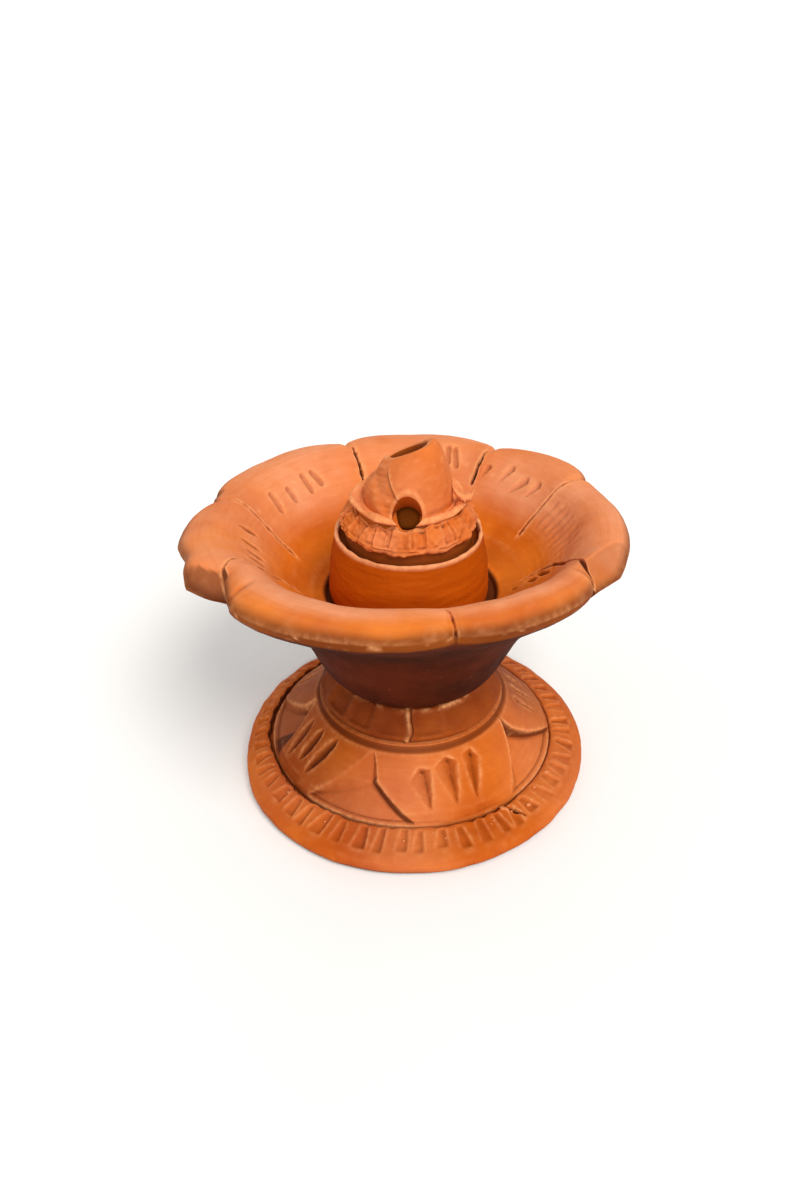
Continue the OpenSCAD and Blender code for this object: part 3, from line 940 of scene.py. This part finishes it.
def from_wick(clay):
    """Distance of each point from the axis of the wick hole, made large on the far side of the neck."""
    x, y = clay.plan()
    a = math.radians(WICK_TILT)
    dx, dy, dz = x - WICK_POINT[0], y - WICK_POINT[1], clay.z0 - WICK_POINT[2]
    along = -dy * math.cos(a) + dz * math.sin(a)
    return np.sqrt(np.maximum(dx**2 + dy**2 + dz**2 - along**2, 0)) + 50 * (along < -6)


# The mouth's slant in degrees, to the side and to the back
MOUTH_SIDE, MOUTH_BACK = 25, 19


def lid_dome(cutter):
    """The lid: a skirt in the pot, a dome, and a neck pinched up to a slanted mouth."""
    points = [
        (11.6, LID_SKIRT, 0.8, 0.3), (14.2, LID_SKIRT, 0.8, 0.3), (14.2, LEDGE, 0.5, 0.2),
        (15.6, LEDGE, 0.4, 0.2), (15.6, 69, 0.35, 0.4), (14.8, 70.2, 0.35, 0.4), (14.2, 71.4, 0.4),
        (12.4, 75.8, 0.3, 0.6), (11.0, 76.6, 0.2, 0.4), (10.5, 77.4, 0.2, 0.5), (10.6, 79.2, 0.24),
        (10.3, 81.6, 0.24), (9.3, 84.8, 0.24), (7.9, 87.9, 0.24), (6.5, 90.0, 0.2, 0.5),
        (5.8, 90.6, 0.14, 0.3), (4.9, 90.6, 0.14, 0.3), (4.1, 89.8, 0.2, 0.4), (4, 78, 0.5, 0.5),
        (8, 73, 0.8), (9.6, 70, 0.8), (11, 67, 0.8),
    ]
    clay = Turned(points, angles(ROWS["lid"], [-1.7], 0.8, 22))
    x, y = clay.plan()
    # the mouth is cut on a slant: low at the left, high at the right
    rising = smooth(clay.z0, 80, 90.5)
    slant = math.tan(math.radians(MOUTH_SIDE)) * x - math.tan(math.radians(MOUTH_BACK)) * y
    clay.z = clay.z + rising * (slant * 0.95 - 0.3)
    clay.r = clay.r + 0.25 * rising * np.sin(np.radians(2 * clay.phi + 40))
    outside = smooth(clay.r0 - 4.5, 0, 0.4) * smooth(clay.z0, 77, 78)
    # an overlapping smear of clay runs down the neck at the front left
    path = np.interp(clay.z0, [77.5, 80, 84, 88], [12, -6, -24, -40])
    lap = clay.arc(path)
    step_in = smooth(-lap, -0.25, 0.25) * fade(-lap, 4.5, 9)
    clay.push(0.65 * step_in * outside * smooth(-clay.z0, -89.5, -87))
    # painted shade under the smear's overlapping edge
    clay.add_grime_and_shade(0.5 * bell(lap + 0.15, 0.25) * outside * (clay.z0 < 88))
    facet = bell(clay.turn(40), 24) * outside
    clay.push(0.45 * facet)
    clay.rough((0.5, 6, 1.0), (0.14, 1.8, 2.0), where=outside)
    clay.thrown(0.08, 0.7, 3.0, outside * (0.4 + 0.6 * step_in))
    distance = from_wick(clay)
    rim = bell(distance - WICK_R - 0.45, 0.5)
    clay.push(-0.2 * rim * smooth(clay.nr, -0.2, 0.2))
    clay.edges(3, 0.16, 0.4)
    mouth = bell(clay.r0 - 5.3, 0.6) * smooth(clay.z0, 89.6, 90.2)
    clay.powder(0.85 * mouth * (0.6 + 0.4 * noise(x, y, 0, 1.4, 2.0)))
    clay.powder(0.8 * rim)
    clay.petal = 0.35 * outside + 0.2 * noise(x, y, clay.z0, 6, 3.0)
    # painted shade inside the neck and the lid's hollow
    hollow = (clay.r0 < 4.6) | ((clay.z0 < 76) & (clay.nr < 0))
    clay.grime_and_shade = np.where(hollow, 0.7 * smooth(clay.z0, 78, 84), clay.grime_and_shade)
    clay.petal = np.where(hollow, 0, clay.petal)
    clay.dust = np.where(hollow, 0, clay.dust)
    # painted shade on the skirt, where it stands in the pot
    clay.add_grime_and_shade(smooth(-clay.z0, -71.5, -69.5) * 0.7 * (clay.nr > 0))
    return clay.piece("lid_dome_clay", shifted, cutter)


FRILL_PANELS = 24


def frill_strip(cutter):
    """The frill: uneven pinched panels over a plain lower edge."""
    points = [
        (14.8, 70.4, 0.3, 0.3), (16.0, 70.6, 0.22, 0.3), (16.9, 71.5, 0.16, 0.4),
        (16.9, 72.6, 0.15, 0.4), (16.6, 73.4, 0.15, 0.4), (15.2, 75.4, 0.16),
        (13.9, 76.7, 0.16, 0.4), (13.1, 76.8, 0.2, 0.3), (12.5, 75.8, 0.5, 0.2),
        (14.2, 71.4, 0.5, 0.2),
    ]
    clay = Turned(points, angles(ROWS["frill"]))
    draw = np.random.default_rng(SEEDS["frill"])
    x, y = clay.plan()
    upper = smooth(clay.z0, 72.0, 73.0) * smooth(clay.nr + clay.nz, 0.3, 0.8)
    bounds = np.array([(i + draw.uniform(-0.28, 0.28)) * 360 / FRILL_PANELS for i in range(FRILL_PANELS + 1)])
    bounds[-1] = bounds[0] + 360
    lean = draw.uniform(-2.2, 2.2, FRILL_PANELS + 1)
    lean[-1] = lean[0]
    for i in range(FRILL_PANELS):
        tip = (clay.z0 - 74.3) / 2.2
        start = bounds[i] + lean[i] * tip
        end = bounds[i + 1] + lean[i + 1] * tip
        t = ((clay.phi - start) % 360) / (end - start)
        inside = t <= 1
        depth = draw.uniform(0.35, 1.15)
        tilt = draw.uniform(-0.8, 0.8)
        hollow = (1 - np.abs(2 * t - 1) ** 4) * (1 + tilt * (2 * t - 1))
        clay.push(np.where(inside, depth * hollow, 0) * upper)
        across = clay.arc(start)
        crease = smooth(1 - np.abs(across - 0.25) / 0.85, 0, 1) * draw.uniform(0.0, 0.9)
        clay.carve(crease * upper * smooth(clay.z0, 72.2, 73.2), 0.25)
    clay.rough((0.6, 3.0, 1.0), (0.3, 1.1, 2.0))
    clay.push(0.35 * noise(x, y, 0, 4.0, 5.0) * smooth(-clay.z0, -71.4, -70))
    # dirt and painted shade in the split along the frill
    split = bell(clay.z0 - 72.0 - 0.35 * noise(x, y, 0, 3.0, 6.0), 0.28) * smooth(clay.nr, 0.4, 0.8)
    clay.carve(0.45 * split * smooth(noise(x, y, 0, 5.0, 8.0), -0.3, 0.3), 0.8)
    left = bell(clay.turn(-62), 42)
    clay.z = clay.z - 0.9 * left * smooth(clay.z0, 74.6, 76.4)
    torn = smooth(clay.z0, 76.0, 76.7)
    clay.push(-0.45 * torn * noise(x, y, 0, 1.7, 9.0))
    clay.edges(4, 0.7, 0.7)
    lower = smooth(-clay.z0, -71.9, -70.8) * smooth(clay.nr, 0.0, 0.5)
    clay.powder(0.6 * lower * smooth(noise(x, y, 0, 2.0, 3.0), -0.6, 0.3))
    distance = from_wick(clay)
    clay.powder(0.7 * bell(distance - WICK_R - 0.5, 0.5))
    clay.petal = 0.25 + 0.3 * noise(x, y, clay.z0, 5, 4.0)
    # painted shade at the frill's foot, where it sits on the pot
    clay.add_grime_and_shade(smooth(-clay.z0, -70.5, -69.8) * 0.5)
    return clay.piece("frill_strip_clay", shifted, cutter)


def slip_bead(cutter):
    """The ridge of slip between the frill and the neck: thick and thin by turns, and torn at the right."""
    points = [
        (12.3, 76.0, 0.3, 0.2), (13.1, 76.8, 0.2, 0.3), (13.5, 77.6, 0.14, 0.3),
        (12.9, 78.3, 0.13, 0.3), (12.1, 78.0, 0.14, 0.3), (11.3, 77.0, 0.18, 0.3),
        (10.6, 77.4, 0.2, 0.2), (10.6, 77.0, 0.3, 0.2),
    ]
    clay = Turned(points, angles(ROWS["bead"]))
    x, y = clay.plan()
    crest = smooth(clay.z0, 77.0, 77.8)
    clay.push(-(0.3 + 0.5 * noise(x, y, 0, 3.4, 1.0)) * crest)
    left = bell(clay.turn(-60), 45)
    clay.r = clay.r + (0.6 * noise(x, y, 0, 6.0, 2.0) + 0.7 * left) * crest
    clay.z = clay.z + 0.3 * left * crest
    clay.rough((0.16, 1.1, 3.0), where=crest)
    clay.edges(3, 0.14, 0.35)
    clay.powder(0.7 * crest * smooth(noise(x, y, 0, 2.2, 4.0), -0.6, 0.2))
    clay.petal = 0.5 + 0 * clay.phi
    # painted shade at the bead's foot
    clay.add_grime_and_shade(smooth(-clay.z0, -77.2, -76.9) * 0.35)
    return clay.piece("slip_bead_clay", shifted, cutter)


# ---------------------------------------------------------------- clay crumbs and the torn tag


def crumb(b, place, size, draw):
    """Adds one lumpy crumb to the bmesh b, pressed into the surface at place."""
    made = bmesh.ops.create_icosphere(b, subdivisions=2, radius=size * MM)["verts"]
    squash = [draw.uniform(0.7, 1.3) for _ in range(3)]
    for v in made:
        lump = 1 + 0.35 * draw.uniform(-1, 1)
        v.co = Vector(tuple(v.co[k] * squash[k] * lump for k in range(3))) + Vector(place) * MM


def crumbs(name, places):
    """A piece made of many small crumbs: places is a list of (x, y, z, size) in millimetres."""
    draw = np.random.default_rng(SEEDS["crumb"])
    b = bmesh.new()
    for x, y, z, size in places:
        crumb(b, (x, y, z), size, draw)
    mesh = bpy.data.meshes.new(name)
    b.to_mesh(mesh)
    b.free()
    return loose_clay(name, mesh, 0.6)


# Crumbs by the short cut at the front right, as (angle, radius)
CUT_CRUMBS = [(36, 40.2), (38.5, 41.4), (41, 42.6), (35, 39.6), (44, 42.0), (52, 40.2), (61, 40.4)]


def stand_crumbs():
    """Crumbs left along the foot's seam and by the short cut at the front right."""
    draw = np.random.default_rng(SEEDS["places"])
    places = []
    for angle, radius in CUT_CRUMBS:
        x, y = plan(radius + draw.uniform(-0.3, 0.3), angle + draw.uniform(-1, 1))
        places.append((x, y, 6.2 - 0.28 * (radius - 39.8), draw.uniform(0.35, 0.7)))
    for _ in range(26):
        angle, radius = draw.uniform(-130, 130), draw.uniform(39.2, 44.0)
        x, y = plan(radius, angle)
        places.append((x, y, 6.3 - 0.32 * (radius - 39.8), draw.uniform(0.16, 0.34)))
    return crumbs("stand_crumbs", places)


def torn_tag():
    """The torn curl of slip that stands off the right side of the lid."""
    name = "torn_tag"
    draw = np.random.default_rng(SEEDS["tag"])
    route = [
        (10.3, -2.2, 81.6), (11.3, -3.0, 80.2), (12.9, -3.2, 79.2), (14.6, -2.4, 79.0), (15.6, -0.6, 79.9),
    ]
    widths = [0.9, 1.6, 2.2, 1.9, 0.9]
    t = np.linspace(0, len(route) - 1, 25)
    path = np.stack([np.interp(t, range(len(route)), [p[k] for p in route]) for k in range(3)], -1)
    size = np.interp(t, range(len(route)), widths)
    sides = 12
    points = []
    for i, (p, s) in enumerate(zip(path, size)):
        for k in range(sides):
            a = 2 * math.pi * k / sides
            rough = 1 + 0.22 * draw.uniform(-1, 1)
            offset = np.array([0.1 * s, 0.75 * s * math.cos(a), 0.42 * s * math.sin(a)])
            points.append((p + offset * rough) * MM)
    faces = []
    for i in range(len(path) - 1):
        for k in range(sides):
            m = (k + 1) % sides
            faces.append((i * sides + k, i * sides + m, (i + 1) * sides + m, (i + 1) * sides + k))
    faces.append(tuple(reversed(range(sides))))
    faces.append(tuple((len(path) - 1) * sides + k for k in range(sides)))
    mesh = bpy.data.meshes.new(name)
    mesh.from_pydata([tuple(p + np.array([*POT_SHIFT, 0]) * MM) for p in points], [], faces)
    b = bmesh.new()
    b.from_mesh(mesh)
    bmesh.ops.recalc_face_normals(b, faces=b.faces)
    b.to_mesh(mesh)
    b.free()
    return loose_clay(name, mesh, 0.55)


# ---------------------------------------------------------------- materials


def rgb(red, green, blue):
    """A display colour, 0 to 255, as the linear colour a shader wants."""
    channels = [c / 255 for c in (red, green, blue)]
    return tuple(c / 12.92 if c <= 0.04045 else ((c + 0.055) / 1.055) ** 2.4 for c in channels) + (1.0,)


class Tree:
    """Short calls for building a node tree."""

    def __init__(self, name):
        self.material = bpy.data.materials.new(name)
        self.material.use_nodes = True
        self.nodes, self.links = self.material.node_tree.nodes, self.material.node_tree.links
        self.shader = self.nodes["Principled BSDF"]

    def put(self, value, socket):
        if isinstance(value, bpy.types.NodeSocket):
            self.links.new(value, socket)
        else:
            socket.default_value = value

    def mark(self, name):
        node = self.nodes.new("ShaderNodeAttribute")
        node.attribute_name = name
        return node.outputs["Fac"]

    def noise(self, scale, detail=3.0, vector=None, rough=0.55):
        node = self.nodes.new("ShaderNodeTexNoise")
        node.inputs["Scale"].default_value = scale
        node.inputs["Detail"].default_value = detail
        node.inputs["Roughness"].default_value = rough
        self.links.new(vector if vector is not None else self.place(), node.inputs["Vector"])
        return node.outputs["Fac"]

    def place(self):
        return self.nodes.new("ShaderNodeTexCoord").outputs["Object"]

    def math(self, operation, a, b, clamp=False):
        node = self.nodes.new("ShaderNodeMath")
        node.operation, node.use_clamp = operation, clamp
        self.put(a, node.inputs[0])
        self.put(b, node.inputs[1])
        return node.outputs[0]

    def span(self, value, low_in, high_in, low_out=0.0, high_out=1.0):
        node = self.nodes.new("ShaderNodeMapRange")
        self.put(value, node.inputs["Value"])
        ends = {"From Min": low_in, "From Max": high_in, "To Min": low_out, "To Max": high_out}
        for key, number in ends.items():
            node.inputs[key].default_value = number
        return node.outputs["Result"]

    def mix(self, share, a, b, blend="MIX"):
        node = self.nodes.new("ShaderNodeMix")
        node.data_type, node.blend_type = "RGBA", blend
        self.put(share, node.inputs["Factor"])
        self.put(a, node.inputs["A"])
        self.put(b, node.inputs["B"])
        return node.outputs["Result"]

    def bump(self, height, strength, distance, normal=None):
        node = self.nodes.new("ShaderNodeBump")
        node.inputs["Strength"].default_value = strength
        node.inputs["Distance"].default_value = distance * MM
        self.links.new(height, node.inputs["Height"])
        if normal is not None:
            self.links.new(normal, node.inputs["Normal"])
        return node.outputs["Normal"]

    def turned_place(self, stretch):
        """Coordinates that hardly change around the axis: radius, height and a little of the angle."""
        split = self.nodes.new("ShaderNodeSeparateXYZ")
        self.links.new(self.place(), split.inputs[0])
        x, y, z = split.outputs
        square = self.math("ADD", self.math("MULTIPLY", x, x), self.math("MULTIPLY", y, y))
        radius = self.math("SQRT", square, 0.0)
        around = self.math("MULTIPLY", self.math("ARCTAN2", x, y), stretch)
        join = self.nodes.new("ShaderNodeCombineXYZ")
        for value, socket in zip((radius, z, around), join.inputs):
            self.links.new(value, socket)
        return join.outputs[0]


DUST = rgb(244, 170, 112)
SALMON = rgb(230, 151, 108)


def clay_material(name, light, deep, shade, dusty=0.6, rings=0.35, specks=0.5):
    """Fired clay: two drifting tones, salmon petals, dirt and painted shade in the marks, painted shade on
    shaded sides and dust on the edges.
    """
    t = Tree(name)
    drift = t.span(t.noise(45, 3), 0.35, 0.65)
    colour = t.mix(drift, deep, light)
    petals = t.math("MULTIPLY", t.mark("petal"), t.span(t.noise(95, 4), 0.25, 0.6, 0.7, 1.0), True)
    colour = t.mix(petals, colour, SALMON)
    mottle = t.span(t.noise(420, 5, rough=0.65), 0.3, 0.7, 0.0, 0.16)
    colour = t.mix(mottle, colour, deep)
    lines = t.noise(900, 3, t.turned_place(0.004))
    colour = t.mix(t.span(lines, 0.42, 0.7, 0.0, rings * 0.5), colour, deep)
    # painted shade: where a piece is marked shaded, the colour darkens towards a deep brown
    colour = t.mix(t.mark("shade"), colour, t.mix(drift, shade, rgb(84, 28, 6)))
    # dirt and painted shade: marked cuts, creases and joints darken towards a deep brown
    dirt_and_shade = t.span(t.mark("grime_and_shade"), 0.05, 0.9, 0.0, 0.92)
    colour = t.mix(dirt_and_shade, colour, rgb(70, 22, 2))
    dusting = t.math("MULTIPLY", t.mark("dust"), t.span(t.noise(700, 4), 0.35, 0.6, 0.25, 1.0))
    colour = t.mix(t.math("MULTIPLY", dusting, dusty, True), colour, DUST)
    speck = t.span(t.noise(1500, 2), 0.73, 0.8, 0.0, specks)
    colour = t.mix(speck, colour, DUST)
    t.links.new(colour, t.shader.inputs["Base Color"])
    rough = t.span(t.noise(260, 4), 0.3, 0.7, 0.62, 0.86)
    t.links.new(rough, t.shader.inputs["Roughness"])
    t.shader.inputs["Specular IOR Level"].default_value = 0.1
    normal = t.bump(t.noise(2600, 4, rough=0.7), 0.35, 0.10)
    normal = t.bump(t.noise(620, 4), 0.4, 0.22, normal)
    normal = t.bump(lines, rings, 0.25, normal)
    t.links.new(normal, t.shader.inputs["Normal"])
    return t.material


def floor_material():
    """A plain pale floor with the faintest unevenness."""
    t = Tree("pale_floor")
    colour = t.mix(t.span(t.noise(6, 3), 0.3, 0.7), rgb(246, 245, 243), rgb(250, 249, 248))
    t.links.new(colour, t.shader.inputs["Base Color"])
    t.links.new(t.span(t.noise(12, 2), 0.3, 0.7, 0.7, 0.8), t.shader.inputs["Roughness"])
    t.shader.inputs["Specular IOR Level"].default_value = 0.2
    return t.material


# the deep brown used for painted shade
PAINTED_SHADE = rgb(50, 15, 1)
MATERIALS = {
    "foot": clay_material("clay_foot", rgb(206, 104, 28), rgb(176, 74, 12), PAINTED_SHADE),
    "coil": clay_material("clay_coil", rgb(190, 92, 26), rgb(154, 62, 14), PAINTED_SHADE, 0.8),
    "bowl": clay_material("clay_bowl", rgb(228, 124, 28), rgb(198, 92, 14), PAINTED_SHADE, 0.6, 0.4),
    "pot": clay_material("clay_pot", rgb(192, 88, 0), rgb(170, 72, 0), PAINTED_SHADE, 0.7, 0.6),
    "lid": clay_material("clay_lid", rgb(220, 116, 38), rgb(194, 88, 14), PAINTED_SHADE, 0.75, 0.2),
    "slip": clay_material("clay_slip", rgb(228, 126, 48), rgb(206, 100, 26), PAINTED_SHADE, 0.8, 0.1),
}


# ---------------------------------------------------------------- assembly


def finish_piece(piece, material, body, slot, *nodes):
    """Gives a piece its material and its body, and hides the CAD nodes that it stands for. slot is not used.
    """
    piece.data.materials.clear()
    piece.data.materials.append(MATERIALS[material])
    if nodes:
        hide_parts(*nodes)
    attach(piece, body)


hole_cutter = wick_cutter(WICK_R)
trim_cutter = wick_cutter(WICK_R + 0.25)
finish_piece(foot_disc(), "foot", "stand", "clay_foot", "foot_disc")
finish_piece(lotus_mound(), "foot", "stand", "clay_foot", "lotus_mound")
finish_piece(stem_coil(), "coil", "stand", "clay_coil", "stem_coil")
finish_piece(petal_bowl(), "bowl", "stand", "clay_bowl", "petal_bowl")
finish_piece(stand_crumbs(), "foot", "stand", "clay_foot")
finish_piece(oil_pot(), "pot", "pot", "clay_pot", "oil_pot")
finish_piece(lid_dome(hole_cutter), "lid", "lid", "clay_lid", "lid_dome")
finish_piece(frill_strip(trim_cutter), "lid", "lid", "clay_lid", "frill_strip")
finish_piece(slip_bead(trim_cutter), "slip", "lid", "clay_slip", "slip_bead")
finish_piece(torn_tag(), "slip", "lid", "clay_slip")
for cutter in (hole_cutter, trim_cutter):
    bpy.data.objects.remove(cutter)


# ---------------------------------------------------------------- floor, light and camera


def pale_floor():
    """A floor that sweeps up far behind the lamp, so that no edge shows."""
    reach, bend_start, bend = 6.0, 4.0, 2.0
    line = [(-reach, 0.0), (bend_start, 0.0)]
    line += [(bend_start + bend * math.sin(a), bend * (1 - math.cos(a))) for a in np.radians(range(5, 91, 5))]
    line.append((bend_start + bend, 5.0))
    points = [(side * reach, y, z) for side in (-1, 1) for y, z in line]
    n = len(line)
    faces = [(i, i + n, i + n + 1, i + 1) for i in range(n - 1)]
    mesh = bpy.data.meshes.new("floor")
    mesh.from_pydata(points, [], faces)
    mesh.shade_smooth()
    mesh.materials.append(floor_material())
    floor = link_object("floor", mesh)


def soft_sun(name, azimuth, elevation, strength, spread, colour=(1, 1, 1)):
    """A wide sun, azimuth from the front towards +X, shining at the lamp."""
    data = bpy.data.lights.new(name, "SUN")
    data.energy, data.angle, data.color = strength, math.radians(spread), colour
    sun = link_object(name, data)
    a, e = math.radians(azimuth), math.radians(elevation)
    back = Vector((math.sin(a) * math.cos(e), -math.cos(a) * math.cos(e), math.sin(e)))
    sun.rotation_mode = "QUATERNION"
    sun.rotation_quaternion = back.to_track_quat("Z", "Y")


SKY_COLOUR = (1.0, 0.985, 0.965, 1)
SKY_STRENGTH = 0.52


def studio():
    """Plain soft studio light."""
    world = bpy.data.worlds.new("studio")
    bpy.context.scene.world = world
    world.use_nodes = True
    sky = world.node_tree.nodes["Background"]
    sky.inputs["Color"].default_value = SKY_COLOUR
    sky.inputs["Strength"].default_value = SKY_STRENGTH
    soft_sun("key", 32, 52, 2.0, 30, (1.0, 0.97, 0.93))
    soft_sun("fill", 0, 30, 0.8, 6)
    bpy.context.scene.view_settings.view_transform = "Standard"


# The camera, in metres; the lens and the sensor are in millimetres
LENS, SENSOR, SHIFT = 31.5, 36, -0.0092
EYE, AIM = (0, -0.223, 0.197), (0, 0, 0.048)


def camera():
    """The camera looks down at the lamp from the front, with the lamp a little right of the middle."""
    data = bpy.data.cameras.new("camera")
    data.lens, data.sensor_width = LENS, SENSOR
    data.shift_x = SHIFT
    cam = link_object("camera", data)
    cam.location = EYE
    look = Vector(AIM) - cam.location
    cam.rotation_mode = "QUATERNION"
    cam.rotation_quaternion = look.to_track_quat("-Z", "Y")
    bpy.context.scene.camera = cam


pale_floor()
studio()
camera()
